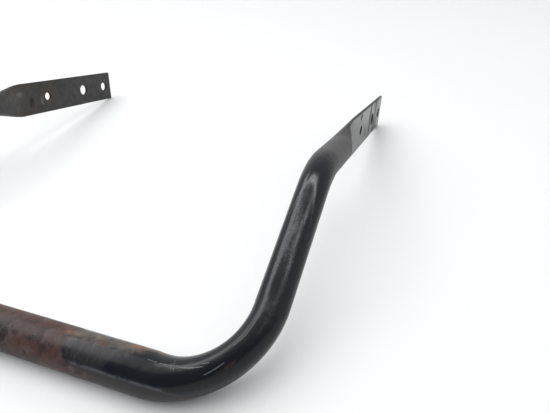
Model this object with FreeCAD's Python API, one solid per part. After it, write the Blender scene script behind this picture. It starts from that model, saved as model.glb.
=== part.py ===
import FreeCAD, Part
import math
import os

from FreeCAD import Matrix, Placement, Rotation, Vector

# Sway bar of a light off-road vehicle: one steel tube, swaged down for its
# arms, bent into a wide U and pressed flat at both ends. It is drawn lying at
# rest on a level surface, on its centre section and on its two blade tips.
# Frame: origin at mid length of the centre section, on the tube's axis, which
# is also the torsion axis. +X runs along that axis, +Y towards the blade tips
# and +Z up. Lengths are in millimetres and angles in degrees.

# --- driving dimensions -----------------------------------------------------
centre_dia = 31.75  # tube between the two corners, 1 1/4 in
arm_dia = 25.4  # tube of the arms after the swaged reduction, 1 in
wall = 1.8  # tube wall, the same all along

centre_straight = 288.0  # straight, parallel length between the corners

corner_radius = 67.0  # on the tube's axis
corner_turn = 87.6
corner_squeeze = 0.16  # loss of width at mid corner, as a share of the radius
corner_rise = 0.7  # gain of height there, for each unit of lost width

arm_straight = 97.0  # from the corner to the drop bend

drop_radius = 58.5  # on the tube's axis
drop_turn = 39.0

shank_straight = 46.0  # round tube between the drop bend and the flare

flare_length = 50.0  # where the round tube spreads into the flat blade
press_start = 6.0  # from the flare's start to the top of the pressed ramp
press_ramp = 22.0  # length over which the press flattens the outboard side
bore_end_gap = 4.0  # from where the flattened bore has closed to the blade

blade_straight = 183.0  # flat, parallel length of the blade
blade_width = 42.4
blade_offset = 0.9  # middle of the blade, outboard of the tube's axis
tip_corner_radius = 1.5

root_hole_dia = 10.5
middle_hole_dia = 14.5
tip_hole_dia = 12.5
tip_margin = 16.5  # from the blade's end to the middle of the tip hole
outer_pitch = 48.5  # tip hole to middle hole
inner_pitch = 73.5  # middle hole to root hole

corner_sections = 12  # sections that the corner is drawn through
flare_sections = 10  # sections that the flare is drawn through
edge_points = 7  # points on each side of a flare section, an odd number
past = 1.0  # how far a cutting shape runs past the metal

# --- values worked out from them --------------------------------------------
centre_r = centre_dia / 2
arm_r = arm_dia / 2
blade_thickness = 2 * wall  # the tube's two walls, pressed together
outboard_face = blade_offset + blade_thickness / 2

along = Vector(1, 0, 0)
inboard = Vector(0, 1, 0)
up = Vector(0, 0, 1)


# --- the tube's axis, as a frame that travels along it ----------------------
# Each frame has x along the tube, y towards the inside of the corner and z up.
def ahead(frame, length):
    """The frame moved on along a straight run."""
    return frame.multiply(Placement(along * length, Rotation()))


def round_corner(frame, turn):
    """The frame swung through the corner, in the plane of the U."""
    centre = inboard * corner_radius
    return frame.multiply(Placement(Vector(), Rotation(up, turn), centre))


def over_drop(frame, turn):
    """The frame swung down through the drop bend."""
    centre = up * -drop_radius
    return frame.multiply(Placement(Vector(), Rotation(inboard, turn), centre))


at_corner = ahead(Placement(), centre_straight / 2)
at_arm = round_corner(at_corner, corner_turn)
at_drop = ahead(at_arm, arm_straight)
at_shank = over_drop(at_drop, drop_turn)
at_flare = ahead(at_shank, shank_straight)
at_blade = ahead(at_flare, flare_length)
at_tip = ahead(at_blade, blade_straight)


def mix(a, b, share):
    """From a to b as share goes from 0 to 1."""
    return a + (b - a) * share


def ease(share):
    """Smooth step from 0 to 1 with level ends."""
    return share * share * (3 - 2 * share)


# Every stretch has one form, drawn twice: its outside, with an inset of nothing,
# and its bore, with an inset of one wall.

# --- straight stretches -----------------------------------------------------
def rod(frame, radius, length):
    """A solid round bar from the frame on, along its x axis."""
    bar = Part.makeCylinder(radius, length, Vector(), along)
    return bar.transformed(frame.toMatrix())


# --- the corner, an oval tube that tapers from the centre to the arm ---------
def corner_ring(share, inset):
    """Oval section at a share of the corner's turn, less an inset all round."""
    radius = mix(centre_r, arm_r, share)
    squeeze = corner_squeeze * math.sin(math.pi * share)
    shape = Matrix()
    shape.scale(
        1,
        radius * (1 - squeeze) - inset,
        radius * (1 + squeeze * corner_rise) - inset,
    )
    place = round_corner(at_corner, corner_turn * share).toMatrix()
    unit = Part.Circle(Vector(), along, 1).toShape()
    return Part.Wire([unit.transformGeometry(place * shape)])


def corner_form(inset):
    """The corner, drawn through its sections."""
    shares = [i / corner_sections for i in range(corner_sections + 1)]
    return Part.makeLoft([corner_ring(s, inset) for s in shares], True)


# --- the drop bend, round and of one size -----------------------------------
def drop_form(radius):
    """A round bar turned about an axis below it."""
    ring = Part.Wire([Part.Circle(Vector(), along, radius).toShape()])
    bend = Part.Face(ring).revolve(up * -drop_radius, inboard, drop_turn)
    return bend.transformed(at_drop.toMatrix())


# --- the flare, from a circle to a flat section with round edges -------------
def side_points(share, inset, side):
    """Points along one of the four sides of the flare's section.

    Sides 0 and 2 are the upper and lower edges, 1 and 3 the outboard and
    inboard faces. A point is mixed, by the eased share, from its place on the
    circle, (sin, cos) of an angle that covers 90 degrees on each side, and its
    place on the flat section, on a half circle or on a straight line.
    """
    spread = ease(share)
    half_flat = blade_thickness / 2 - inset
    half_line = blade_width / 2 - blade_thickness / 2
    is_edge = side % 2 == 0
    sign = 1 - side if is_edge else 2 - side
    points = []
    for i in range(edge_points):
        step = i / (edge_points - 1)
        angle = math.radians(90 * (side + step) - 45)
        circle_out = (arm_r - inset) * math.sin(angle)
        circle_up = (arm_r - inset) * math.cos(angle)
        if is_edge:
            turn = math.pi * (step - 0.5)
            flat_out = sign * half_flat * math.sin(turn)
            flat_up = sign * (half_line + half_flat * math.cos(turn))
        else:
            flat_out = sign * half_flat
            flat_up = sign * half_line * (1 - 2 * step)
        out = mix(circle_out, flat_out + blade_offset, spread)
        points.append(Vector(0, -out, mix(circle_up, flat_up, spread)))
    return points


def flare_side(share, inset, side):
    """One side of the flare's section: an arc, a line, or a curve between."""
    points = side_points(share, inset, side)
    if share == 0 or (share == 1 and side % 2 == 0):
        return Part.Arc(points[0], points[edge_points // 2], points[-1]).toShape()
    if share == 1:
        return Part.makeLine(points[0], points[-1])
    curve = Part.BSplineCurve()
    curve.interpolate(points)
    return curve.toShape()


def flare_ring(share, inset):
    """The flare's section at a share of its length."""
    ring = Part.Wire([flare_side(share, inset, side) for side in range(4)])
    place = ahead(at_flare, flare_length * share)
    return ring.transformed(place.toMatrix())


def press_block(inset):
    """What the press pushes away on the outboard side: a ramp, then a flat."""
    ramp_start = Vector(press_start, -(arm_r - inset), 0)
    ramp_end = Vector(press_start + press_ramp, -(outboard_face - inset), 0)
    beyond = ramp_start + (ramp_start - ramp_end) * 0.5
    far_end = flare_length + past
    outline = Part.makePolygon(
        [
            beyond,
            ramp_end,
            Vector(far_end, ramp_end.y, 0),
            Vector(far_end, beyond.y, 0),
            beyond,
        ]
    )
    block = Part.Face(outline).extrude(up * blade_width * 2)
    block.translate(up * -blade_width)
    return block.transformed(at_flare.toMatrix())


def flare_form(inset, length):
    """The flare as far as a length, with its outboard side pressed flat."""
    last = length / flare_length
    shares = [last * i / flare_sections for i in range(flare_sections + 1)]
    form = Part.makeLoft([flare_ring(s, inset) for s in shares], True)
    return form.cut(press_block(inset))


# --- the blade --------------------------------------------------------------
def link_hole(diameter, from_tip):
    """A round hole through the blade, on its middle line."""
    start = Vector(blade_straight - from_tip, -blade_width / 2, 0)
    hole = Part.makeCylinder(diameter / 2, blade_width, start, inboard)
    return hole.transformed(at_blade.toMatrix())


def tip_corner(side):
    """What rounding takes off the upper (1) or the lower (-1) tip corner."""
    r = tip_corner_radius
    size = r + past
    centre = Vector(blade_straight - r, -blade_width / 2, side * (blade_width / 2 - r))
    low = centre + up * min(0, side * size)
    nook = Part.makeBox(size, blade_width, size, low)
    nook = nook.cut(Part.makeCylinder(r, blade_width, centre, inboard))
    return nook.transformed(at_blade.toMatrix())


def blade():
    """The flat end, with its three link holes and its tip corners rounded."""
    run = at_blade.Rotation.multVec(along) * blade_straight
    flat = Part.Face(flare_ring(1, 0)).extrude(run)
    cuts = [
        link_hole(tip_hole_dia, tip_margin),
        link_hole(middle_hole_dia, tip_margin + outer_pitch),
        link_hole(root_hole_dia, tip_margin + outer_pitch + inner_pitch),
        tip_corner(1),
        tip_corner(-1),
    ]
    return flat.cut(cuts)


# --- the whole bar ----------------------------------------------------------
def round_stretches(inset):
    """From the right corner to the right shank."""
    arm = arm_r - inset
    return [
        corner_form(inset),
        rod(at_arm, arm, arm_straight),
        drop_form(arm),
        rod(at_shank, arm, shank_straight),
    ]


def both_sides(right, inset):
    """Stretches of the right side, their mirror images and the centre section."""
    left = [stretch.mirror(Vector(), along) for stretch in right]
    start = ahead(at_corner, -centre_straight)
    return rod(start, centre_r - inset, centre_straight).fuse(right + left)


def outside():
    """The bar's outer form, with its blades."""
    return both_sides(round_stretches(0) + [flare_form(0, flare_length), blade()], 0)


def bore():
    """The air inside, which ends where the flattened flares have closed."""
    flare_bore = flare_form(wall, flare_length - bore_end_gap)
    return both_sides(round_stretches(wall) + [flare_bore], wall)


def rest_tilt():
    """Turn about the torsion axis that brings the tips down to the surface.

    The foot is the middle of the blade's rounded lower corner. The surface is
    the corner's radius below it, and the centre section's radius below the axis.
    """
    r = tip_corner_radius
    foot = at_tip.multVec(Vector(-r, 0, r - blade_width / 2))
    reach = math.hypot(foot.y, foot.z)
    foot_angle = math.degrees(math.atan2(-foot.z, foot.y))
    return foot_angle - math.degrees(math.asin((centre_r - r) / reach))


def sway_bar():
    """One closed tube: the skin of the outer form and the skin of the bore."""
    skins = [outside().Shells[0], bore().Shells[0].reversed()]
    bar = Part.makeSolid(Part.makeCompound(skins))
    bar.rotate(Vector(), along, rest_tilt())
    return bar


os.makedirs("parts", exist_ok=True)
bar = sway_bar()
bar.exportStep("parts/sway_bar.step")
print("solids", len(bar.Solids), "valid", bar.isValid(), "volume", round(bar.Volume))
print("rest tilt", round(rest_tilt(), 3))
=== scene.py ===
import math

import bmesh
import bpy
import numpy as np
from bpy.props import FloatProperty, FloatVectorProperty, IntProperty, PointerProperty
from mathutils import Matrix, Vector


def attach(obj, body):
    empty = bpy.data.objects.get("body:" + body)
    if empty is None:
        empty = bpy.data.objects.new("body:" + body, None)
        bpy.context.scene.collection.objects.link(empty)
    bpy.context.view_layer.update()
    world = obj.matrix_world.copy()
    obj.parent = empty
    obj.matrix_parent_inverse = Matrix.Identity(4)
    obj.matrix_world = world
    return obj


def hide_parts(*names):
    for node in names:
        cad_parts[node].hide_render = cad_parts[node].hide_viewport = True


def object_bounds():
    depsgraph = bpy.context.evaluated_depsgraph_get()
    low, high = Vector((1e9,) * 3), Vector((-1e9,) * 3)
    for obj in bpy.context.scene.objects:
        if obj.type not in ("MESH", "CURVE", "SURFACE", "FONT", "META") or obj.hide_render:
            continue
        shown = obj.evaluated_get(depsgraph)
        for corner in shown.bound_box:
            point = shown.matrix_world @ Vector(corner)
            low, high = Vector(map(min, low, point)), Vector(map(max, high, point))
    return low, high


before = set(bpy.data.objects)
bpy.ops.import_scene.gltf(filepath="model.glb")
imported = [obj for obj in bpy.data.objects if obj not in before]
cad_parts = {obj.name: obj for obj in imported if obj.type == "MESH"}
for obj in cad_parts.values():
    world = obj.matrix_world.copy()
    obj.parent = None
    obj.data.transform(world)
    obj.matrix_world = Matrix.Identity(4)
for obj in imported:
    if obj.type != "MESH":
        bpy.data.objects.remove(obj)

bl_info = {
    "name": "Sway bar",
    "version": (1, 0, 0),
    "blender": (4, 5, 0),
    "location": "3D View > Sidebar > Sway bar",
    "description": "A used tubular sway bar in worn black paint, on a pale table",
    "category": "Object",
}

CAD_BOX = [list(corner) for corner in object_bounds()]
BODY = "root"
CAD_NODE = "sway_bar"


# ---------------------------------------------------------------------------
# Settings
# ---------------------------------------------------------------------------
class BarShape(bpy.types.PropertyGroup):
    """Sizes of the bar, the same as the CAD model's."""

    centre_radius: FloatProperty(
        name="Centre radius", description="Tube radius between the corners",
        default=0.015875, min=0.001, unit="LENGTH", precision=5)
    arm_radius: FloatProperty(
        name="Arm radius", description="Tube radius of the arms",
        default=0.0127, min=0.001, unit="LENGTH", precision=5)
    half_centre: FloatProperty(
        name="Half centre", description="Half of the straight centre section",
        default=0.144, min=0.01, unit="LENGTH", precision=4)
    corner_radius: FloatProperty(
        name="Corner radius", description="Bend radius of the corner, on the axis",
        default=0.067, min=0.01, unit="LENGTH", precision=4)
    corner_turn: FloatProperty(
        name="Corner turn", description="Turn of the corner",
        default=math.radians(87.6), subtype="ANGLE")
    corner_squeeze: FloatProperty(
        name="Corner squeeze", description="Share of the radius lost at mid corner",
        default=0.16, min=0, max=0.5)
    corner_rise: FloatProperty(
        name="Corner rise", description="Height gained for each unit of lost width",
        default=0.7, min=0, max=1)
    arm_straight: FloatProperty(
        name="Arm", description="Straight run from the corner to the drop bend",
        default=0.097, min=0.01, unit="LENGTH", precision=4)
    drop_radius: FloatProperty(
        name="Drop radius", description="Bend radius of the drop bend",
        default=0.0585, min=0.01, unit="LENGTH", precision=4)
    drop_turn: FloatProperty(
        name="Drop turn", description="Turn of the drop bend",
        default=math.radians(39), subtype="ANGLE")
    shank_straight: FloatProperty(
        name="Shank", description="Round tube between the drop bend and the flare",
        default=0.046, min=0.005, unit="LENGTH", precision=4)
    flare_length: FloatProperty(
        name="Flare", description="Length over which the tube spreads into the blade",
        default=0.050, min=0.005, unit="LENGTH", precision=4)
    press_start: FloatProperty(
        name="Press start", description="From the flare's start to the pressed ramp",
        default=0.006, unit="LENGTH", precision=4)
    press_ramp: FloatProperty(
        name="Press ramp", description="Length of the pressed ramp",
        default=0.022, min=0.002, unit="LENGTH", precision=4)
    blade_straight: FloatProperty(
        name="Blade", description="Flat length of the blade",
        default=0.183, min=0.02, unit="LENGTH", precision=4)
    blade_width: FloatProperty(
        name="Blade width", description="Width of the blade",
        default=0.0424, min=0.005, unit="LENGTH", precision=4)
    blade_thickness: FloatProperty(
        name="Blade thickness", description="Thickness of the blade",
        default=0.0036, min=0.0005, unit="LENGTH", precision=5)
    blade_offset: FloatProperty(
        name="Blade offset", description="Middle of the blade, outboard of the axis",
        default=0.0009, unit="LENGTH", precision=5)
    edge_break: FloatProperty(
        name="Edge break", description="Width of the broken edges of tip and holes",
        default=0.0004, min=0.00005, unit="LENGTH", precision=5)
    tip_corner: FloatProperty(
        name="Tip corner", description="Radius of the blade's two tip corners",
        default=0.0015, min=0.0001, unit="LENGTH", precision=5)
    root_hole: FloatProperty(
        name="Root hole", description="Radius of the hole nearest the flare",
        default=0.00525, min=0.001, unit="LENGTH", precision=5)
    middle_hole: FloatProperty(
        name="Middle hole", description="Radius of the middle hole",
        default=0.00725, min=0.001, unit="LENGTH", precision=5)
    tip_hole: FloatProperty(
        name="Tip hole", description="Radius of the hole nearest the tip",
        default=0.00625, min=0.001, unit="LENGTH", precision=5)
    tip_margin: FloatProperty(
        name="Tip margin", description="From the blade's end to the tip hole",
        default=0.0165, min=0.005, unit="LENGTH", precision=4)
    outer_pitch: FloatProperty(
        name="Outer pitch", description="Tip hole to middle hole",
        default=0.0485, min=0.005, unit="LENGTH", precision=4)
    inner_pitch: FloatProperty(
        name="Inner pitch", description="Middle hole to root hole",
        default=0.0735, min=0.005, unit="LENGTH", precision=4)
    around: IntProperty(
        name="Points around", description="Points in each ring, a multiple of four",
        default=96, min=16)


def colour_setting(name, description, default):
    """A colour property."""
    return FloatVectorProperty(
        name=name, description=description, default=default, size=3, min=0, max=1, subtype="COLOR")


class BarFinish(bpy.types.PropertyGroup):
    """Colours of the bar's finish, new and worn, and of the highlights, reflections and shade painted
    on it.
    """

    paint: colour_setting("Paint", "Gloss paint", (0.0062, 0.007, 0.0105))
    paint_light: colour_setting("Paint, lighter", "Lighter clouds in the paint", (0.012, 0.014, 0.0185))
    matte: colour_setting("Matte", "Matte end of the arms", (0.031, 0.0305, 0.03))
    matte_light: colour_setting("Matte, lighter", "Lighter matte patches", (0.056, 0.055, 0.053))
    # also the painted highlight line on the front and the painted reflection along the arm
    scuff_and_highlight: colour_setting("Scuff", "Scuffed streaks in the paint", (0.115, 0.13, 0.145))
    # also the bright painted reflection at the drop bend
    scratch_and_reflection: colour_setting("Scratch", "Scratches down to primer", (0.26, 0.275, 0.29))
    # the painted highlight colour of the press ridge and the flare's dents
    painted_highlight_colour: colour_setting("Chip", "Bright chipped edge", (0.5, 0.51, 0.5))
    # also the colour of the painted reflection of the table on the lower front
    dust_and_table_reflection: colour_setting("Dust", "Dusty, dulled paint", (0.05, 0.044, 0.042))
    rust_dark: colour_setting("Dark rust", "Thin brown rust", (0.026, 0.017, 0.0155))
    rust_red: colour_setting("Red rust", "Reddish rust", (0.068, 0.034, 0.029))
    rust_grey: colour_setting("Grey rust", "Dusty grey rust", (0.085, 0.064, 0.06))
    rust_orange: colour_setting("Orange rust", "Fresh rust", (0.26, 0.115, 0.045))
    brown: colour_setting("Brown", "Brown stains on the blades", (0.058, 0.042, 0.03))
    primer: colour_setting("Primer", "Primer showing through", (0.12, 0.113, 0.1))
    primer_warm: colour_setting("Primer, warm", "Stained primer", (0.23, 0.155, 0.085))
    # also painted shade in the link holes, on the blade edges and in the flare's dents
    black: colour_setting("Black", "Soot and dark spots", (0.008, 0.007, 0.007))


class CameraView(bpy.types.PropertyGroup):
    """Where the camera stands and how it looks."""

    place: FloatVectorProperty(
        name="Place", description="Camera position in the part's frame",
        default=(0.28993, -0.13163, 0.26066), size=3, subtype="TRANSLATION")
    down: FloatProperty(
        name="Down", description="Angle of the view below the horizon",
        default=math.radians(35.81), subtype="ANGLE")
    aside: FloatProperty(
        name="Aside", description="Turn of the view to the left of +Y",
        default=math.radians(21.07), subtype="ANGLE")
    roll: FloatProperty(
        name="Roll", description="Roll of the camera about its view",
        default=math.radians(3.08), subtype="ANGLE")
    lens: FloatProperty(
        name="Lens", description="Focal length on a 36 mm wide sensor, in mm",
        default=28.626, min=5)


# ---------------------------------------------------------------------------
# The bar's mesh
# ---------------------------------------------------------------------------
def ease(share):
    """3t^2 - 2t^3 of t held between 0 and 1."""
    t = np.clip(share, 0, 1)
    return t * t * (3 - 2 * t)


def runs_of(shape):
    """Distance from the middle of the bar to the end of each stretch."""
    lengths = [
        shape.half_centre,
        shape.corner_radius * shape.corner_turn,
        shape.arm_straight,
        shape.drop_radius * shape.drop_turn,
        shape.shank_straight,
        shape.flare_length,
        shape.blade_straight,
    ]
    return np.cumsum(lengths)


# Distance between rings, in m: centre, corner, arm, drop bend, shank, flare and blade.
RING_STEPS = [0.002, 0.0015, 0.002, 0.0014, 0.0014, 0.0006, 0.002]
TIP_RINGS = 9  # over the rounding of the tip


def stations(shape):
    """Run and inset of each ring on one half.

    The run goes on in even steps in each stretch, finer where the tube changes
    fast, and over the tip's rounding in equal turns of its quarter circle. The
    last rings stand in from the edge as the corner of the steel is broken.
    """
    ends = runs_of(shape)
    starts = np.concatenate([[0], ends[:-1]])
    rows = []
    for start, end, step in zip(starts, ends, RING_STEPS):
        count = max(2, round((end - start) / step))
        rows.append(np.linspace(start, end, count, endpoint=False))
    tip = ends[-1]
    rows[-1] = rows[-1][rows[-1] < tip - shape.tip_corner * 1.2]
    turn = np.linspace(0, math.pi / 2, TIP_RINGS)
    rows.append(tip - shape.tip_corner * (1 - np.sin(turn)))
    run = np.concatenate(rows)
    broken = shape.edge_break
    inset = np.clip(run - (tip - broken), 0, broken)
    return run, inset


def axis_frames(shape, run):
    """Point, direction and the two side directions of the axis at each run.

    The axis is a straight, an arc in the plane of the U, a straight, an arc in
    the plane across it and a straight. In each arc the angle is run / radius,
    and the point is centre + radius (sin, 1 - cos) along and across the start.
    """
    centre_end, corner_end, arm_end, drop_end = runs_of(shape)[:4]
    corner_r, drop_r = shape.corner_radius, shape.drop_radius
    a = np.clip((run - centre_end) / corner_r, 0, shape.corner_turn)
    b = np.clip((run - arm_end) / drop_r, 0, shape.drop_turn)
    zero = np.zeros_like(run)
    heading = np.stack([np.cos(a), np.sin(a), zero], 1)
    outboard = np.stack([np.sin(a), -np.cos(a), zero], 1)
    normal = np.broadcast_to([0.0, 0.0, 1.0], heading.shape)
    c, s = np.cos(b)[:, None], np.sin(b)[:, None]
    along = heading * c - normal * s
    up = heading * s + normal * c

    flat = np.minimum(run, centre_end)
    point = np.stack([flat + corner_r * np.sin(a), corner_r * (1 - np.cos(a)), zero], 1)
    arm = np.clip(run - corner_end, 0, shape.arm_straight)[:, None]
    beyond = np.maximum(run - drop_end, 0)[:, None]
    point = point + heading * (arm + drop_r * s) - normal * drop_r * (1 - c) + along * beyond
    return point, along, outboard, up


def ring_parts(shape, around):
    """Unit circle and flat section round the ring: (out, up) of each.

    Four equal quarters of the ring go to the top edge, the outboard side, the
    bottom edge and the inboard side. The flat section's edges are half circles
    of half the blade's thickness, and its sides are straight.
    """
    k = np.arange(around)
    quarter = (k * 4) // around
    step = (k * 4 % around) / around
    angle = np.radians(90 * (quarter + step) - 45)
    circle = np.stack([np.sin(angle), np.cos(angle)], 1)
    half = shape.blade_thickness / 2
    line = shape.blade_width / 2 - half
    turn = math.pi * (step - 0.5)
    edge_sign = 1 - quarter
    side_sign = 2 - quarter
    on_edge = quarter % 2 == 0
    out = np.where(on_edge, edge_sign * half * np.sin(turn), side_sign * half)
    up = np.where(on_edge, edge_sign * (line + half * np.cos(turn)), side_sign * line * (1 - 2 * step))
    return circle, np.stack([out, up], 1)


def soft_min(value, limit, blend):
    """Smaller of the two, rounded over blend: (v + l - sqrt((v - l)^2 + b^2)) / 2."""
    return (value + limit - np.sqrt((value - limit) ** 2 + blend ** 2)) / 2


RIDGE_ROUNDING = 0.0008  # m, where the pressed ramp starts
RIDGE_LEAD = 0.3  # how far before the ramp the rounding starts, in ramp lengths


def sections(shape, run, inset):
    """Out and up of every ring point, one row for each run.

    The round and the flat section are mixed by the eased share of the flare.
    The pressed ramp cuts the outboard side down, with a rounding that comes up
    before the ramp and dies away past its end. The tip's rounding and the inset
    bring the edges in: each edge at r - sqrt(r^2 - back^2).
    """
    circle, flat = ring_parts(shape, shape.around)
    ends = runs_of(shape)
    corner = np.clip((run - ends[0]) / (ends[1] - ends[0]), 0, 1)
    radius = shape.centre_radius + (shape.arm_radius - shape.centre_radius) * corner
    squeeze = shape.corner_squeeze * np.sin(math.pi * corner)
    across = radius * (1 - squeeze)
    high = radius * (1 + squeeze * shape.corner_rise)
    spread = ease((run - ends[4]) / shape.flare_length)[:, None]
    out = across[:, None] * circle[:, 0] * (1 - spread) + (flat[:, 0] + shape.blade_offset) * spread
    up = high[:, None] * circle[:, 1] * (1 - spread) + flat[:, 1] * spread

    face = shape.blade_offset + shape.blade_thickness / 2
    pressed = (run - ends[4] - shape.press_start) / shape.press_ramp
    ramp = shape.arm_radius + (face - shape.arm_radius) * np.clip(pressed, 0, 1)
    rounding = RIDGE_ROUNDING * ease(pressed / RIDGE_LEAD + 1) * (1 - ease((pressed - 0.8) / 1.2))
    cut = soft_min(out, ramp[:, None], rounding[:, None] + 1e-9)
    out = np.where((pressed > -RIDGE_LEAD)[:, None], cut, out)

    back = np.clip((run - (ends[-1] - shape.tip_corner)) / shape.tip_corner, 0, 1)
    trim = shape.tip_corner * (1 - np.sqrt(1 - back ** 2))
    edge = (shape.blade_width / 2 - np.maximum(trim, inset))[:, None]
    up = np.clip(up, -edge, edge)
    inset = inset[:, None]
    side = out - shape.blade_offset
    thinned = np.sign(side) * np.minimum(np.abs(side), shape.blade_thickness / 2 - inset)
    out = np.where(inset > 0, shape.blade_offset + thinned, out)
    return out, up


def bar_grid(shape):
    """Points of the whole bar, and its straightened coordinates.

    Each ring point is axis + outboard * out + up * up. The left half is the
    right half's mirror image. Returns points (rings, around, 3) and, for each,
    (run, out, up) with run counted from the middle and negative on the left.
    """
    run, inset = stations(shape)
    point, _, outboard, up_axis = axis_frames(shape, run)
    out, up = sections(shape, run, inset)
    place = (
        point[:, None, :]
        + outboard[:, None, :] * out[..., None]
        + up_axis[:, None, :] * up[..., None]
    )
    place = place @ tilt_matrix(shape).T
    rod = np.stack([np.broadcast_to(run[:, None], out.shape), out, up], -1)
    mirror = np.array([-1.0, 1.0, 1.0])
    place = np.concatenate([place[:0:-1] * mirror, place])
    rod = np.concatenate([rod[:0:-1] * mirror, rod])
    return place, rod


def grid_faces(rings, around):
    """Quads between neighbouring rings, then the two end caps."""
    i = np.arange(rings - 1)[:, None]
    j = np.arange(around)[None, :]
    k = (j + 1) % around
    near, beyond = i * around, (i + 1) * around
    quads = np.stack([near + j, beyond + j, beyond + k, near + k], -1)
    faces = quads.reshape(-1, 4).tolist()
    last = (rings - 1) * around
    faces.append(list(range(around)))
    faces.append(list(range(last + around - 1, last - 1, -1)))
    return faces


def new_object(name, points, faces):
    """A mesh object at the origin."""
    mesh = bpy.data.meshes.new(name)
    mesh.from_pydata(points.reshape(-1, 3).tolist(), [], faces)
    mesh.validate()
    obj = bpy.data.objects.new(name, mesh)
    bpy.context.scene.collection.objects.link(obj)
    return obj


def blade_place(shape):
    """The blade's start, and its axes along, outboard and up, in the part's frame."""
    start = runs_of(shape)[5]
    point, along, outboard, up = (rows[0] for rows in axis_frames(shape, np.array([start])))
    turn = tilt_matrix(shape)
    return turn @ point, np.stack([along, outboard, up]) @ turn.T


def link_holes(shape):
    """Radius of each link hole of a blade, and the run of its middle."""
    back = shape.tip_margin + np.cumsum([0, shape.outer_pitch, shape.inner_pitch])
    radii = (shape.tip_hole, shape.middle_hole, shape.root_hole)
    return list(zip(radii, (runs_of(shape)[-1] - back).tolist()))


HOLE_POINTS = 64  # round each hole
CUTTER_PAST = 0.002  # m that a cutter sticks out of the blade


def hole_cutter(shape, radius, run, side):
    """A spool that cuts one hole and breaks its edges.

    Rings of points on circles (cos, sin) about the hole's axis. The radius is
    the hole's, and grows one for one with depth beyond the broken edge.
    """
    start, (along, outboard, up) = blade_place(shape)
    centre = start + along * (run - runs_of(shape)[5]) + outboard * shape.blade_offset
    half, broken = shape.blade_thickness / 2, shape.edge_break
    depth = np.array([-half - CUTTER_PAST, broken - half, half - broken, half + CUTTER_PAST])
    wide = radius + np.maximum(np.abs(depth) - (half - broken), 0)
    turn = np.linspace(0, 2 * math.pi, HOLE_POINTS, endpoint=False)[:, None]
    points = (
        centre
        + outboard * depth[:, None, None]
        + wide[:, None, None] * (along * np.cos(turn) + up * np.sin(turn))
    )
    points = points * [side, 1, 1]
    cutter = new_object("cutter", points, grid_faces(len(depth), len(turn)))
    face_outwards(cutter)
    return cutter


def face_outwards(obj):
    """Point all faces of a closed mesh outwards."""
    work = bmesh.new()
    work.from_mesh(obj.data)
    bmesh.ops.recalc_face_normals(work, faces=work.faces)
    work.to_mesh(obj.data)
    work.free()


def cut_holes(bar, shape):
    """Cut the three link holes in each blade."""
    for side in (1, -1):
        for radius, run in link_holes(shape):
            cutter = hole_cutter(shape, radius, run, side)
            cut = bar.modifiers.new("hole", "BOOLEAN")
            cut.operation = "DIFFERENCE"
            cut.solver = "EXACT"
            cut.object = cutter
            with bpy.context.temp_override(object=bar, active_object=bar):
                bpy.ops.object.modifier_apply(modifier=cut.name)
            bpy.data.objects.remove(cutter)


def straightened(bar, shape):
    """Straightened coordinates of all points, put right on the blades.

    A blade is straight, so there a point's run, out and up are its distances
    along the blade's own axes from the blade's start. The rest of the bar is
    behind that start.
    """
    mesh = bar.data
    count = len(mesh.vertices)
    place, rod = np.empty(count * 3), np.empty(count * 3)
    mesh.vertices.foreach_get("co", place)
    layer = mesh.attributes["rod"]
    layer.data.foreach_get("vector", rod)
    place, rod = place.reshape(-1, 3), rod.reshape(-1, 3)
    start, axes = blade_place(shape)
    side = np.sign(place[:, 0])
    local = (place * np.stack([side, np.ones(count), np.ones(count)], 1) - start) @ axes.T
    on_blade = local[:, 0] > 0
    local[:, 0] += runs_of(shape)[5]
    local[:, 0] *= side
    rod[on_blade] = local[on_blade]
    layer.data.foreach_set("vector", rod.reshape(-1).astype(np.float32))
    return rod


def tilt_matrix(shape):
    """Turn about the torsion axis that lays the tips on the table.

    The middle of the rounded tip corner comes as far above the table as its
    radius, and the torsion axis as far as the tube's: the tilt is the angle of
    that point below the axis' plane less asin(height / reach).
    """
    r = shape.tip_corner
    point, along, _, up = (rows[0] for rows in axis_frames(shape, runs_of(shape)[-1:]))
    foot = point - along * r + up * (r - shape.blade_width / 2)
    reach = math.hypot(foot[1], foot[2])
    tilt = math.atan2(-foot[2], foot[1]) - math.asin((shape.centre_radius - r) / reach)
    c, s = math.cos(tilt), math.sin(tilt)
    return np.array([[1, 0, 0], [0, c, -s], [0, s, c]])


SHARP_ANGLE = math.radians(35)


def make_bar(shape):
    """The whole bar as one closed mesh, with its straightened coordinates and wear."""
    place, rod = bar_grid(shape)
    bar = new_object("bar", place, grid_faces(*place.shape[:2]))
    layer = bar.data.attributes.new("rod", "FLOAT_VECTOR", "POINT")
    layer.data.foreach_set("vector", rod.reshape(-1).astype(np.float32))
    face_outwards(bar)
    cut_holes(bar, shape)
    rod = straightened(bar, shape)
    for name, values in wear_masks(rod).items():
        layer = bar.data.attributes.new(name, "FLOAT", "POINT")
        layer.data.foreach_set("value", values.astype(np.float32))
    bar.data.shade_smooth()
    bar.data.set_sharp_from_angle(angle=SHARP_ANGLE)
    return bar


# ---------------------------------------------------------------------------
# Where the bar is worn, and where light and shade are painted on it
# ---------------------------------------------------------------------------
def hump(x, middle, spread):
    """exp(-((x - middle) / spread)^2)"""
    return np.exp(-(((x - middle) / spread) ** 2))


def rise(x, start, end):
    """Eased from 0 at start to 1 at end."""
    return ease((x - start) / (end - start))


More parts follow.
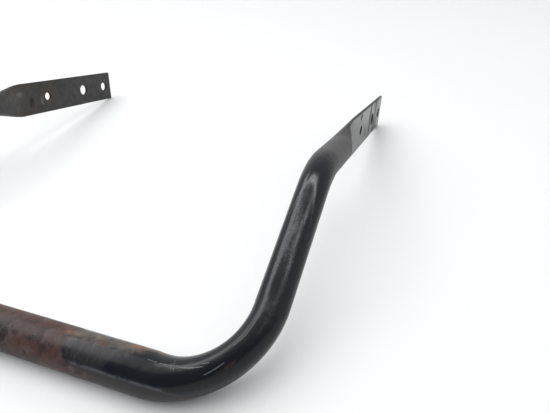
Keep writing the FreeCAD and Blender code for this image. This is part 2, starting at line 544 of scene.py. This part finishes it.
def centre_wear(run, angle):
    """Rust on the centre section, and rubbed primer and fresh rust by the bush seats."""
    far = np.abs(run)
    edge = 82 + 30 * rise(-angle, -66, -30) * (angle > -150)
    edge = edge + np.where(run > 0, 0, 9)

    on_seat = rise(far, 70, 88) * (1 - rise(far, 124, 150))
    back_top = hump(angle, 137, 22)
    thin = hump(angle, 160, 9) * rise(far, 106, 132) * (1 - rise(far, 150, 174))
    rubbed_top = (1 - rise(far, 104, 142)) * hump(angle, 100, 24)
    rubbed_front = (1 - rise(far, 104, 128)) * hump(angle, 72, 16)
    return {
        "rust": rise(edge - far, -14, 14),
        "soot": hump(far, 38, 2.5) * hump(angle, 88, 7)
        + hump(far, 52, 3.5) * hump(angle, 85, 6)
        + hump(far, 19, 3) * hump(angle, 101, 7)
        + 0.8 * hump(far, 66, 3) * hump(angle, 74, 6),
        "tan": 0.85 * on_seat * back_top + 0.75 * thin,
        "seat": rise(far, 78, 90) * np.clip(rubbed_top + rubbed_front, 0, 1),
        "blotch": hump(far, 107, 7) * hump(angle, 128, 12)
        + 0.6 * hump(far, 93, 4) * hump(angle, 112, 9),
        "orange": 0.9 * hump(far, 78, 3.6) * hump(angle, 129, 8)
        + hump(far, 129, 4.5) * hump(angle, 150, 9)
        + 0.75 * hump(far, 142, 11) * hump(angle, 159, 5)
        + 0.6 * hump(far, 71, 3) * hump(angle, 121, 4),
    }


def corner_wear(run, angle, out):
    """Dust and a painted reflection of the table along the front, a painted highlight line above it,
    and scuffs, dents and a red spot on the corners.
    """
    far = np.abs(run)
    line = np.interp(far, [80, 150, 158, 167, 180], [59, 59, 54, 40, 20])
    below = rise(line - angle, -4, 5) * (1 - rise(-angle, 100, 150))
    return {
        # dirt and a painted reflection of the table: the lower front is dulled and tinted brownish grey
        "dull": below * rise(far, 74, 98) * (1 - rise(far, 180, 225)),
        # painted highlight: a thin light line where the tube reflects the ceiling, along the top of the
        # dulled front
        "painted_highlight_line": hump(angle, line, 3.4) * rise(far, 80, 92) * (1 - rise(far, 160, 178)),
        "hair": hump(far, 168, 21) * hump(angle, 108, 9),
        "haze": hump(far, 218, 28) * hump(angle, 117, 22),
        "red": np.where(run > 0, 0.8 * hump(far, 199, 8) * hump(angle, 65, 7), 0),
        "dents": hump(far, 241, 9) * hump(angle, 78, 24)
        + 0.6 * hump(far, 222, 12) * hump(angle, 62, 18)
        + hump(far, 455, 18) * (out < 0),
    }


def arm_wear(far, angle):
    """Two scuffed streaks along the arm that meet in an inverted U at the drop bend: scuffs, and a
    painted reflection of the lamps along the same lines.
    """
    left_line = np.interp(far, [250, 270, 300, 320, 338], [108, 107, 105, 107, 108])
    right_line = np.interp(far, [250, 268, 290, 303, 320, 338], [56, 64, 70, 70, 63, 60])
    along = rise(far, 240, 282) * (1 - rise(far, 326, 346))
    # painted reflection: the inverted U where the two reflected lines close at the drop bend
    arch_scuff_and_reflection = hump(far, 346 - ((angle - 86) / 24) ** 2 * 11, 3.4) * hump(angle, 86, 30)
    return {
        "arch_scuff_and_reflection": arch_scuff_and_reflection,
        # scuffed streaks that also carry a painted reflection of the lamps
        "streak_and_reflection": 0.9 * along * hump(angle, left_line, 8)
        + 0.72 * along * hump(angle, right_line, 7)
        + 0.6 * hump(far, 306, 20) * hump(angle, 95, 13)
        + 0.3 * along * hump(angle, 86, 26) * (1 - rise(far, 312, 332))
        + 0.9 * arch_scuff_and_reflection,
        "specks": hump(far, 381, 16) * hump(angle, 20, 26)
        + 0.8 * hump(far, 352, 18) * hump(angle, 95, 30)
        + 0.6 * hump(far, 250, 14) * hump(angle, 70, 30),
        "matte": rise(far - 0.25 * (90 - np.abs(angle - 70)), 322, 388),
    }


def blade_wear(far, out, up):
    """Bare steel, stains and smudges on the blades, painted shade on the blade edges and in the flare's
    dents, and painted highlights on the press ridge and on the dents.
    """
    outboard = rise(out, 0, 1.5)
    inboard = rise(-out, -0.5, 0.5)
    tube = 12.7
    ridge = 434 + 2.2 * (tube - np.sqrt(np.maximum(tube ** 2 - up ** 2, 0)))
    smudge = (
        0.9 * hump(far, 581, 6) * (0.6 + 0.4 * hump(up, 6, 12))
        + 0.8 * hump(far, 617, 6)
        + 0.7 * hump(far, 632, 4)
        + 0.6 * hump(far, 605, 3)
        + 0.6 * hump(far, 659, 3)
        + 0.5 * hump(far, 555, 5) * hump(up, -12, 8)
        + 0.7 * hump(far, 519, 7) * hump(up, 16, 4)
    )
    # painted shade: the dark sides of the dents on the inboard flare
    dark = hump(far, 493, 6) * hump(up, -4, 11) + 0.7 * hump(far, 507, 2.5) * hump(up, 3, 4)
    ring = hump(far, 526, 20) * hump(up, 2, 14)
    drip = outboard * hump(far, 519, 6) * hump(up, -11, 5)
    return {
        "bare": rise(far, 440, 480),
        # painted shade: a darker band on the blade's edges, from how they face the light
        "edge": rise(np.abs(up), 19.6, 20.4) * rise(far, 462, 480),
        # painted highlight: a light line along the ridge where the press starts, and light spots on two
        # dents inboard
        "painted_highlight": 0.8 * outboard * hump(far, ridge, 2.2) * rise(12 - np.abs(up), -2, 4)
        + 0.2 * inboard * hump(far, 475, 4.5) * hump(up, 8, 3)
        + 0.25 * inboard * hump(far, 512, 1.5) * hump(up, -5, 5),
        # smudges outboard; painted dent shade inboard
        "smudge": outboard * smudge * (far > 490) + inboard * dark,
        "stain": 0.85 * inboard * (ring + 0.6 * hump(far, 478, 22)) + 0.9 * drip,
    }


def wear_masks(rod):
    """How much of each kind of wear there is at each point, from 0 to 1.

    Places are given as a run in mm, from the middle of the bar, and an angle
    round the tube in degrees, 0 outboard and 90 on top. On the blades they are
    a run and a height above the blade's middle line, both in mm. Far is the run
    on either side.
    """
    run, out, up = (rod * 1000).T
    far = np.abs(run)
    angle = np.degrees(np.arctan2(up, out))
    masks = {
        **centre_wear(run, angle),
        **corner_wear(run, angle, out),
        **arm_wear(far, angle),
        **blade_wear(far, out, up),
    }
    return {name: np.clip(values, 0, 1) for name, values in masks.items()}


# ---------------------------------------------------------------------------
# Materials
# ---------------------------------------------------------------------------
class Graph:
    """Short ways to add nodes to a node tree."""

    def __init__(self, tree):
        self.tree = tree

    def node(self, kind, inputs=(), **settings):
        """A node with some settings, and values or links for its first inputs."""
        node = self.tree.nodes.new(kind)
        for name, value in settings.items():
            setattr(node, name, value)
        for key, value in (inputs.items() if isinstance(inputs, dict) else enumerate(inputs)):
            self.put(node.inputs[key], value)
        return node

    def put(self, socket, value):
        """Link a socket, or set its value."""
        if isinstance(value, bpy.types.NodeSocket):
            self.tree.links.new(value, socket)
        elif value is not None:
            socket.default_value = value

    def math(self, operation, *values, clamp=False):
        """The result of one Math node."""
        return self.node("ShaderNodeMath", values, operation=operation, use_clamp=clamp).outputs[0]

    def add(self, *values):
        """Sum of any number of values."""
        total = values[0]
        for value in values[1:]:
            total = self.math("ADD", total, value)
        return total

    def times(self, *values):
        """Product of any number of values."""
        total = values[0]
        for value in values[1:]:
            total = self.math("MULTIPLY", total, value)
        return total

    def rise(self, value, start, end):
        """Eased from 0 at start to 1 at end."""
        inputs = [value, start, end, 0.0, 1.0]
        return self.node("ShaderNodeMapRange", inputs, interpolation_type="SMOOTHSTEP").outputs[0]

    def scaled(self, vector, scale):
        """A vector with each part scaled."""
        return self.node("ShaderNodeVectorMath", [vector, scale], operation="MULTIPLY").outputs[0]

    def noise(self, vector, scale, detail, rough):
        """Noise about 0.5, with a scale in cycles per metre."""
        inputs = {"Vector": vector, "Scale": scale, "Detail": detail, "Roughness": rough}
        return self.node("ShaderNodeTexNoise", inputs).outputs[0]

    def drawn_noise(self, vector, scales, detail, rough):
        """Noise drawn out along the bar or round it, by a scale for each direction."""
        return self.noise(self.scaled(vector, scales), 1.0, detail, rough)

    def swing(self, noise, amount):
        """(noise - 0.5) * amount"""
        return self.times(self.math("SUBTRACT", noise, 0.5), amount)

    def ragged(self, mask, noise, amount, start, end):
        """A mask with its border broken up: eased from start to end of mask + swing."""
        return self.rise(self.add(mask, self.swing(noise, amount)), start, end)

    def mix(self, share, a, b):
        """Colour a to colour b."""
        node = self.node("ShaderNodeMix", data_type="RGBA")
        self.put(node.inputs["Factor"], share)
        self.put(node.inputs["A"], a)
        self.put(node.inputs["B"], b)
        return node.outputs["Result"]

    def blend(self, share, a, b):
        """Number a to number b."""
        node = self.node("ShaderNodeMix", data_type="FLOAT")
        self.put(node.inputs["Factor"], share)
        self.put(node.inputs["A"], a)
        self.put(node.inputs["B"], b)
        return node.outputs["Result"]

    def attribute(self, name):
        """The node of one of the mesh's own attributes."""
        return self.node("ShaderNodeAttribute", attribute_name=name)


def rgb(colour):
    """A colour with full alpha."""
    return (*colour, 1.0)


def stroke(g, run, arc, start, end, width):
    """A thin scratch on the unrolled tube: 1 on the line and 0 a width away.

    The distance from a line segment: the offset from the start, less its part
    along the segment held between its ends.
    """
    step = (end[0] - start[0], end[1] - start[1])
    length2 = step[0] ** 2 + step[1] ** 2
    dx = g.math("SUBTRACT", run, start[0])
    dy = g.math("SUBTRACT", arc, start[1])
    along = g.add(g.times(dx, step[0] / length2), g.times(dy, step[1] / length2))
    along = g.math("ADD", along, 0.0, clamp=True)
    dx = g.math("SUBTRACT", dx, g.times(along, step[0]))
    dy = g.math("SUBTRACT", dy, g.times(along, step[1]))
    distance = g.math("SQRT", g.add(g.times(dx, dx), g.times(dy, dy)))
    return g.rise(distance, width, 0.0)


# Long scratches in the gloss paint: run and angle of both ends, and half width.
# Runs are in mm and angles in degrees, 0 outboard and 90 on top.
SCRATCHES = [
    (185.0, 73.0, 198.5, 77.0, 0.5),
    (154.0, 115.0, 165.0, 110.0, 0.45),
    (170.0, 104.0, 184.0, 93.0, 0.45),
    (173.0, 99.0, 186.0, 91.0, 0.3),
    (144.0, 119.0, 152.0, 117.0, 0.3),
    (165.0, 128.0, 166.0, 98.0, 0.25),
    (186.0, 98.0, 190.0, 94.0, 0.4),
    (209.0, 97.3, 220.0, 94.5, 0.35),
    (219.0, 94.5, 234.0, 100.0, 0.3),
]
ARC_RADIUS = 14.0  # mm, turns an angle round the tube into a length
MASKS = (
    "rust", "soot", "tan", "seat", "blotch", "orange",
    "dull", "painted_highlight_line", "hair", "haze", "red", "dents",
    "arch_scuff_and_reflection", "streak_and_reflection", "specks", "matte",
    "bare", "edge", "painted_highlight", "smudge", "stain",
)


def shared_grain(g, rod):
    """The noises that several layers share, on the straightened bar."""
    return {
        "fine": g.noise(rod, 900.0, 4.0, 0.6),
        "coarse": g.noise(rod, 130.0, 5.0, 0.6),
        "cloud": g.noise(rod, 45.0, 4.0, 0.55),
    }


def gloss_layer(g, grain, mask, finish):
    """Gloss paint with clouds, a dulled front that is partly dirt and partly a painted reflection of
    the table, and a painted highlight line along its top border.
    """
    coarse, cloud = grain["coarse"], grain["cloud"]
    colour = g.mix(coarse, rgb(finish.paint), rgb(finish.paint_light))
    rough = g.blend(g.rise(cloud, 0.35, 0.7), 0.15, 0.24)

    # dirt and a painted reflection of the table on the lower front
    dust_and_reflection = g.ragged(mask["dull"], coarse, 0.7, 0.2, 0.9)
    colour = g.mix(g.times(dust_and_reflection, g.blend(cloud, 0.35, 0.85)), colour, rgb(finish.dust_and_table_reflection))
    rough = g.blend(dust_and_reflection, rough, 0.5)
    rubbed = g.ragged(mask["seat"], coarse, 0.8, 0.25, 1.0)
    colour = g.mix(g.times(rubbed, 0.2), colour, rgb(finish.dust_and_table_reflection))
    rough = g.blend(rubbed, rough, 0.42)
    dulled = g.math("MAXIMUM", mask["dents"], mask["haze"], clamp=True)
    rough = g.blend(dulled, rough, 0.42)
    # painted highlight line along the top of the dulled front, in the scuff colour
    painted_highlight_line = g.times(mask["painted_highlight_line"], g.rise(coarse, 0.32, 0.6), 0.6)
    return g.mix(painted_highlight_line, colour, rgb(finish.scuff_and_highlight)), g.blend(painted_highlight_line, rough, 0.45)


def matte_layer(g, rod, mask, finish, colour, rough):
    """The dull end of the bar, with smudged and stained blades, painted shade on the blade edges and in
    the flare's dents, and painted highlights on the press ridge and the dents.
    """
    coarse = g.noise(rod, 110.0, 5.0, 0.6)
    cloud = g.noise(rod, 30.0, 3.0, 0.55)
    fine = g.noise(rod, 800.0, 3.0, 0.6)
    drawn = g.drawn_noise(rod, (190.0, 80.0, 70.0), 4.0, 0.65)

    light = g.rise(g.add(g.times(coarse, 0.5), g.times(cloud, 0.5)), 0.36, 0.66)
    dull = g.mix(light, rgb(finish.matte), rgb(finish.matte_light))
    dull_rough = g.blend(fine, 0.36, 0.5)
    dull_rough = g.blend(mask["bare"], dull_rough, 0.22)

    # smudges outboard and painted shade in the dents of the inboard flare, both in black
    smudge = g.times(g.ragged(mask["smudge"], drawn, 1.3, 0.15, 0.95), mask["bare"])
    dull = g.mix(g.times(smudge, 0.7), dull, rgb(finish.black))
    dull_rough = g.blend(smudge, dull_rough, 0.75)
    stain = g.ragged(mask["stain"], coarse, 0.6, 0.08, 0.8)
    dull = g.mix(g.times(stain, 0.8), dull, rgb(finish.brown))
    # painted shade on the blade edges
    dull = g.mix(g.times(mask["edge"], 0.75), dull, rgb(finish.black))
    dull_rough = g.blend(mask["edge"], dull_rough, 0.5)

    matte = g.ragged(mask["matte"], coarse, 0.45, 0.1, 0.9)
    colour = g.mix(matte, colour, dull)
    # painted highlight on the press ridge and the flare's dents
    painted_highlight = g.times(mask["painted_highlight"], g.rise(coarse, 0.3, 0.55), 0.9)
    colour = g.mix(painted_highlight, colour, rgb(finish.painted_highlight_colour))
    return colour, g.blend(matte, rough, dull_rough)


def streak_layer(g, rod, grain, mask, finish, colour, rough):
    """Scuffed, speckled streaks along the arm, partly painted reflection, and a bright painted
    reflection on the inverted U at the drop bend.
    """
    drawn = g.drawn_noise(rod, (90.0, 600.0, 600.0), 3.0, 0.6)
    patch = g.noise(rod, 120.0, 3.0, 0.5)
    speckle = g.rise(g.add(g.times(grain["fine"], 0.55), g.times(drawn, 0.45)), 0.43, 0.6)
    streak_and_reflection = g.ragged(mask["streak_and_reflection"], patch, g.times(mask["streak_and_reflection"], 0.9), 0.08, 0.95)
    streak_and_reflection = g.times(streak_and_reflection, g.blend(speckle, 0.28, 1.0))
    colour = g.mix(g.times(streak_and_reflection, 0.85), colour, rgb(finish.scuff_and_highlight))
    # bright painted reflection on the inverted U at the drop bend
    bright = g.times(mask["arch_scuff_and_reflection"], g.blend(speckle, 0.3, 1.0))
    colour = g.mix(bright, colour, rgb(finish.scratch_and_reflection))
    return colour, g.blend(streak_and_reflection, rough, 0.42), streak_and_reflection


def rust_layer(g, spots, grain, mask, finish, colour, rough):
    """Mottled rust and soot on the centre section."""
    coarse, cloud = grain["coarse"], grain["cloud"]
    border = g.add(mask["rust"], g.swing(coarse, 1.1), g.swing(cloud, 0.8))
    rust = g.rise(border, 0.2, 0.75)
    tone = g.mix(g.rise(cloud, 0.4, 0.62), rgb(finish.rust_dark), rgb(finish.rust_red))
    tone = g.mix(g.rise(coarse, 0.47, 0.7), tone, rgb(finish.rust_grey))
    sooty = g.times(mask["soot"], g.rise(coarse, 0.25, 0.5))
    soot = g.add(g.times(g.rise(spots, 0.56, 0.7), 0.75), sooty)
    tone = g.mix(g.math("MINIMUM", soot, 0.9), tone, rgb(finish.black))
    return g.mix(rust, colour, tone), g.blend(rust, rough, g.blend(coarse, 0.4, 0.6)), rust


def primer_layer(g, spots, grain, mask, finish, colour, rough):
    """Rubbed primer on the bush seats, with red and fresh orange rust round it."""
    fine, coarse, cloud = grain["fine"], grain["coarse"], grain["cloud"]
    warm = g.rise(g.add(g.times(cloud, 0.6), g.times(coarse, 0.4)), 0.4, 0.6)
    rubbed = g.mix(warm, rgb(finish.primer), rgb(finish.primer_warm))
    rubbed = g.mix(g.times(g.rise(spots, 0.52, 0.7), 0.6), rubbed, rgb(finish.rust_dark))
    tan = g.ragged(mask["tan"], coarse, 0.8, 0.18, 0.85)
    colour = g.mix(g.times(tan, g.blend(coarse, 0.45, 1.0)), colour, rubbed)
    rough = g.blend(tan, rough, 0.5)

    blotch = g.ragged(mask["blotch"], coarse, 1.0, 0.3, 0.8)
    colour = g.mix(g.times(blotch, 0.75), colour, rgb(finish.rust_red))
    red = g.ragged(mask["red"], coarse, 0.9, 0.3, 0.8)
    colour = g.mix(g.times(red, 0.6), colour, rgb(finish.rust_red))
    border = g.add(mask["orange"], g.swing(fine, 1.6), g.swing(spots, 1.2))
    orange = g.rise(border, 0.35, 0.85)
    colour = g.mix(g.times(orange, 0.85), colour, rgb(finish.rust_orange))
    return colour, g.blend(orange, rough, 0.65)


def scratch_marks(g, rod, grain, mask):
    """Rings rubbed into the bush seats, specks, fine hairlines and long scratches."""
    run, out, up = g.node("ShaderNodeSeparateXYZ", [rod]).outputs
    run_mm = g.times(run, 1000.0)
    angle = g.math("ARCTAN2", up, out)
    arc_mm = g.times(angle, ARC_RADIUS)

    far = g.math("ABSOLUTE", run_mm)
    along_seat = g.times(g.rise(far, 78.0, 90.0), g.rise(far, 122.0, 104.0))
    round_seat = g.times(g.rise(angle, 1.05, 1.45), g.rise(angle, 2.4, 1.9))
    ringed = g.drawn_noise(rod, (1300.0, 110.0, 110.0), 2.0, 0.6)
    marks = g.times(along_seat, round_seat, g.rise(ringed, 0.56, 0.74), 0.26)

    dotted = g.noise(rod, 1300.0, 2.0, 0.5)
    marks = g.math("MAXIMUM", marks, g.times(mask["specks"], g.rise(dotted, 0.66, 0.74), 0.7))
    hair = g.drawn_noise(rod, (55.0, 1100.0, 1100.0), 3.0, 0.65)
    marks = g.math("MAXIMUM", marks, g.times(mask["hair"], g.rise(hair, 0.56, 0.68), 0.5))
    for run_0, angle_0, run_1, angle_1, width in SCRATCHES:
        start = (run_0, math.radians(angle_0) * ARC_RADIUS)
        end = (run_1, math.radians(angle_1) * ARC_RADIUS)
        line = stroke(g, run_mm, arc_mm, start, end, width)
        marks = g.math("MAXIMUM", marks, g.times(line, 0.6))
    return g.times(marks, g.rise(grain["fine"], 0.25, 0.55))


def hole_wall_shade(g, rod, shape):
    """1 on the inner faces of the link holes, where the distance from an axis is the radius: they are
    painted black as shade.
    """
    run, _, up = g.node("ShaderNodeSeparateXYZ", [rod]).outputs
    far = g.math("ABSOLUTE", run)
    wall_shade = 0.0
    for radius, middle in link_holes(shape):
        dx = g.math("SUBTRACT", far, middle)
        distance = g.math("SQRT", g.add(g.times(dx, dx), g.times(up, up)))
        inside = g.rise(distance, radius + shape.edge_break, radius + shape.edge_break / 4)
        wall_shade = g.math("MAXIMUM", wall_shade, inside)
    return wall_shade


PAINT_IOR = 1.38
PAINT_SPECULAR = 0.32
BUMP_HEIGHT = 0.00012  # m


def worn_paint(finish, shape):
    """Gloss black paint, worn to rust, primer and dull steel in places, with painted highlights,
    reflections and shade in its colour.

    Patterns follow the straightened bar, so they run on round the bends.
    """
    mat = bpy.data.materials.new("worn_paint")
    mat.use_nodes = True
    g = Graph(mat.node_tree)
    shader = mat.node_tree.nodes["Principled BSDF"]
    rod = g.attribute("rod").outputs["Vector"]
    mask = {name: g.attribute(name).outputs["Fac"] for name in MASKS}
    grain = shared_grain(g, rod)
    spots = g.noise(rod, 240.0, 3.0, 0.6)

    colour, rough = gloss_layer(g, grain, mask, finish)
    colour, rough = matte_layer(g, rod, mask, finish, colour, rough)
    colour, rough, streak_and_reflection = streak_layer(g, rod, grain, mask, finish, colour, rough)
    colour, rough, rust = rust_layer(g, spots, grain, mask, finish, colour, rough)
    colour, rough = primer_layer(g, spots, grain, mask, finish, colour, rough)
    # painted shade: the link holes' inner faces in black
    wall_shade = hole_wall_shade(g, rod, shape)
    colour = g.mix(g.times(wall_shade, 0.9), colour, rgb(finish.black))
    rough = g.blend(wall_shade, rough, 0.6)
    marks = scratch_marks(g, rod, grain, mask)
    colour = g.mix(g.times(marks, 0.85), colour, rgb(finish.scratch_and_reflection))
    rough = g.blend(marks, rough, 0.42)
    g.put(shader.inputs["Base Color"], colour)
    g.put(shader.inputs["Roughness"], rough)
    shader.inputs["IOR"].default_value = PAINT_IOR
    shader.inputs["Specular IOR Level"].default_value = PAINT_SPECULAR

    worn = g.add(0.12, g.times(rust, 0.9), g.times(mask["matte"], 0.3), g.times(streak_and_reflection, 0.9))
    dented = g.add(0.9, g.times(mask["dents"], 9.0))
    height = g.add(
        g.times(g.noise(rod, 420.0, 2.0, 0.5), 0.35),
        g.times(grain["fine"], worn),
        g.times(g.noise(rod, 150.0, 2.0, 0.5), dented),
        g.times(marks, -0.7),
    )
    bump = g.node("ShaderNodeBump", {"Strength": 1.0, "Distance": BUMP_HEIGHT, "Height": height})
    g.put(shader.inputs["Normal"], bump.outputs[0])
    return mat


# ---------------------------------------------------------------------------
# Stage
# ---------------------------------------------------------------------------
TABLE_SIZE = 20.0  # m
TABLE_COLOUR = (0.86, 0.87, 0.865)


def make_table():
    """A large plain pale surface at the bar's lowest point."""
    half, low = TABLE_SIZE / 2, CAD_BOX[0][2]
    corners = np.array([(-half, -half, low), (half, -half, low), (half, half, low), (-half, half, low)])
    table = new_object("table", corners, [(0, 1, 2, 3)])
    mat = bpy.data.materials.new("table")
    mat.use_nodes = True
    shader = mat.node_tree.nodes["Principled BSDF"]
    shader.inputs["Base Color"].default_value = rgb(TABLE_COLOUR)
    shader.inputs["Roughness"].default_value = 0.7
    shader.inputs["Specular IOR Level"].default_value = 0.2
    table.data.materials.append(mat)


# Lamps: name, place, size (m), power (W), and whether it lights or only shines back.
LAMPS = [
    ("soft_box", (-1.1, -0.5, 2.6), (3.4, 3.4), 66.0, True),
    ("strip_left", (-3.0, 0.4, 2.9), (2.2, 3.0), 145.0, False),
    ("strip_right", (1.9, -0.1, 2.9), (1.3, 2.2), 18.0, False),
    ("strip_back", (0.3, 0.8, 3.2), (3.0, 0.6), 40.0, False),
]


ROOM_PALE = (1.0, 1.0, 1.01)
ROOM_DARK = (0.15, 0.155, 0.18)


def make_studio(scene):
    """Soft light: a pale room, dark on the near side, a soft box and three strips."""
    world = bpy.data.worlds.new("studio")
    scene.world = world
    world.use_nodes = True
    g = Graph(world.node_tree)
    way = g.node("ShaderNodeTexCoord").outputs["Generated"]
    _, y, z = g.node("ShaderNodeSeparateXYZ", [way]).outputs
    near = g.math("SUBTRACT", g.times(y, -1.0), g.times(z, 0.3))
    dark = g.rise(near, -0.2, 0.25)
    background = world.node_tree.nodes["Background"]
    g.put(background.inputs["Color"], g.mix(dark, rgb(ROOM_PALE), rgb(ROOM_DARK)))
    background.inputs["Strength"].default_value = 1.0
    for name, place, size, power, lights in LAMPS:
        data = bpy.data.lights.new(name, "AREA")
        data.shape = "RECTANGLE"
        data.size, data.size_y = size
        data.energy = power
        lamp = bpy.data.objects.new(name, data)
        lamp.location = place
        lamp.visible_camera = False
        lamp.visible_diffuse = lights
        lamp.visible_glossy = not lights
        scene.collection.objects.link(lamp)
    scene.view_settings.view_transform = "Standard"


def make_camera(scene, view):
    """The camera, from its place and the three turns of its view."""
    data = bpy.data.cameras.new("camera")
    data.sensor_width = 36
    data.sensor_fit = "HORIZONTAL"
    data.lens = view.lens
    data.clip_start = 0.01
    camera = bpy.data.objects.new("camera", data)
    scene.collection.objects.link(camera)
    ahead = Vector((
        -math.sin(view.aside) * math.cos(view.down),
        math.cos(view.aside) * math.cos(view.down),
        -math.sin(view.down),
    ))
    level = Vector((math.cos(view.aside), math.sin(view.aside), 0))
    below = ahead.cross(level)
    c, s = math.cos(view.roll), math.sin(view.roll)
    right, down = level * c + below * s, below * c - level * s
    turn = Matrix((right, -down, -ahead)).transposed()
    camera.matrix_world = Matrix.Translation(view.place) @ turn.to_4x4()
    scene.camera = camera


# ---------------------------------------------------------------------------
# Operators
# ---------------------------------------------------------------------------
class SWAYBAR_OT_bar(bpy.types.Operator):
    """Make the bar and its worn paint"""

    bl_idname = "swaybar.bar"
    bl_label = "Bar"

    def execute(self, context):
        bar = make_bar(context.scene.bar_shape)
        bar.data.materials.append(worn_paint(context.scene.bar_finish, context.scene.bar_shape))
        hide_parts(CAD_NODE)
        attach(bar, BODY)
        return {"FINISHED"}


class SWAYBAR_OT_stage(bpy.types.Operator):
    """Make the table, the studio light and the camera"""

    bl_idname = "swaybar.stage"
    bl_label = "Stage"

    def execute(self, context):
        make_table()
        make_studio(context.scene)
        make_camera(context.scene, context.scene.camera_view)
        return {"FINISHED"}


class SWAYBAR_PT_panel(bpy.types.Panel):
    """The bar's operators and settings"""

    bl_idname = "SWAYBAR_PT_panel"
    bl_label = "Sway bar"
    bl_space_type = "VIEW_3D"
    bl_region_type = "UI"
    bl_category = "Sway bar"

    def draw(self, context):
        layout = self.layout
        for operator in (SWAYBAR_OT_bar, SWAYBAR_OT_stage):
            layout.operator(operator.bl_idname)
        for name in SETTINGS:
            box = layout.box()
            settings = getattr(context.scene, name)
            for key in settings.__annotations__:
                box.prop(settings, key)


SETTINGS = {"bar_shape": BarShape, "bar_finish": BarFinish, "camera_view": CameraView}
CLASSES = (*SETTINGS.values(), SWAYBAR_OT_bar, SWAYBAR_OT_stage, SWAYBAR_PT_panel)


def register():
    """Register the classes and hang the settings on the scene."""
    for cls in CLASSES:
        bpy.utils.register_class(cls)
    for name, group in SETTINGS.items():
        setattr(bpy.types.Scene, name, PointerProperty(type=group))


def unregister():
    """Take the settings and the classes away again."""
    for name in SETTINGS:
        delattr(bpy.types.Scene, name)
    for cls in reversed(CLASSES):
        bpy.utils.unregister_class(cls)


def main():
    """Make the scene."""
    register()
    bpy.ops.swaybar.bar()
    bpy.ops.swaybar.stage()


if __name__ == "__main__":
    main()
